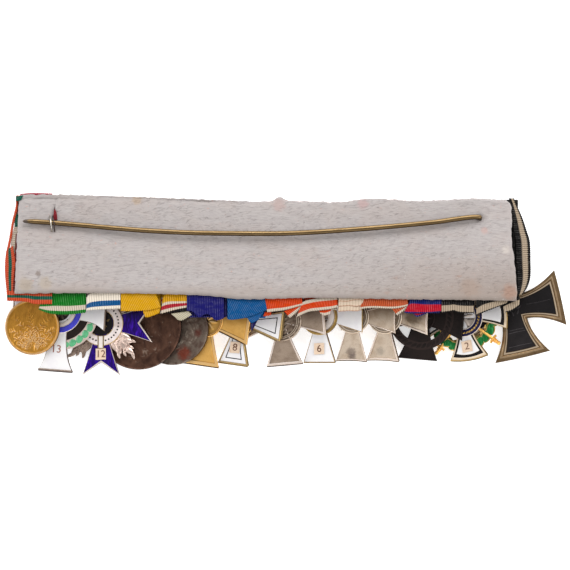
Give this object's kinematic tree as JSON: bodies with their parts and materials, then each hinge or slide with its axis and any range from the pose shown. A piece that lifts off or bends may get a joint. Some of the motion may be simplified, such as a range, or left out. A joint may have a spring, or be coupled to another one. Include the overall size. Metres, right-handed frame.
{
  "type": "mounted medal group",
  "caption": "Bar of overlapping crosses and round medals on folded striped ribbons, backed with grey felt and fastened by a long pin wire.",
  "frame": {"origin": "under the middle of the whole outline, on the surface that the group lies on face down", "axes": "+X along the bar, +Y up its height as worn, +Z away from the surface, towards the felt back"},
  "size_m": [0.2413, 0.077, 0.0152],
  "materials": {
    "felt": "mauve-grey felt with a horizontal grain",
    "pin_wire": "dulled brass wire",
    "catch_wire": "thin grey wire",
    "red_cloth": "scrap of red cloth",
    "ribbon_orange_green": "ribbed ribbon, orange with a green stripe",
    "ribbon_green": "ribbed ribbon, green with a cream stripe",
    "ribbon_cream_blue": "ribbed ribbon, cream with a blue stripe",
    "ribbon_yellow": "ribbed ribbon, yellow",
    "ribbon_yellow_edged": "ribbed ribbon, yellow edged in white, red and black",
    "ribbon_indigo": "ribbed ribbon, indigo",
    "ribbon_blue": "ribbed ribbon, mid blue",
    "ribbon_flame": "ribbed ribbon, orange with cream edges",
    "ribbon_cream": "ribbed ribbon, cream",
    "ribbon_rust": "ribbed ribbon, rust with cream edges",
    "ribbon_blue_crimson": "ribbed ribbon, blue with a crimson stripe",
    "ribbon_black": "ribbed ribbon, black with cream stripes",
    "gilt": "worn gilding",
    "bronze": "dark brown bronze",
    "patina_bronze": "bronze with grey and reddish patina",
    "silver": "toned silver",
    "blackened": "blackened, worn to brown",
    "iron_black": "black iron core",
    "white_enamel": "glossy white enamel",
    "violet_enamel": "glossy translucent violet-blue enamel",
    "paper": "small paper label"
  },
  "bodies": {
    "root": {"felt_back": "felt", "pin_needle": "pin_wire", "pin_catch": "catch_wire", "catch_patch": "red_cloth", "ribbon_01": "ribbon_orange_green", "ribbon_02": "ribbon_green", "ribbon_03": "ribbon_cream_blue", "ribbon_04": "ribbon_yellow", "ribbon_05": "ribbon_yellow_edged", "ribbon_06": "ribbon_indigo", "ribbon_07": "ribbon_blue", "ribbon_08": "ribbon_flame", "ribbon_09": "ribbon_flame", "ribbon_10": "ribbon_cream", "ribbon_11": "ribbon_rust", "ribbon_12": "ribbon_blue_crimson", "ribbon_13": "ribbon_black", "ribbon_14": "ribbon_black", "medal_01": "gilt", "medal_02": "white_enamel", "medal_03": "violet_enamel", "medal_04": "bronze", "medal_05": "patina_bronze", "medal_06": "gilt", "medal_07": "white_enamel", "medal_08": "silver", "medal_09": "white_enamel", "medal_10": "silver", "medal_11": "silver", "medal_12": "blackened", "medal_13": "white_enamel", "medal_14": "iron_black", "ring_01": "gilt", "ring_02": "silver", "ring_03": "silver", "ring_04": "silver", "ring_05": "silver", "ring_06": "gilt", "ring_07": "silver", "ring_08": "silver", "ring_09": "silver", "ring_10": "silver", "ring_11": "silver", "ring_12": "silver", "ring_13": "silver", "ring_14": "silver", "number_label_1": "paper", "number_label_2": "paper", "number_label_3": "paper", "number_label_4": "paper"}
  },
  "joints": []
}
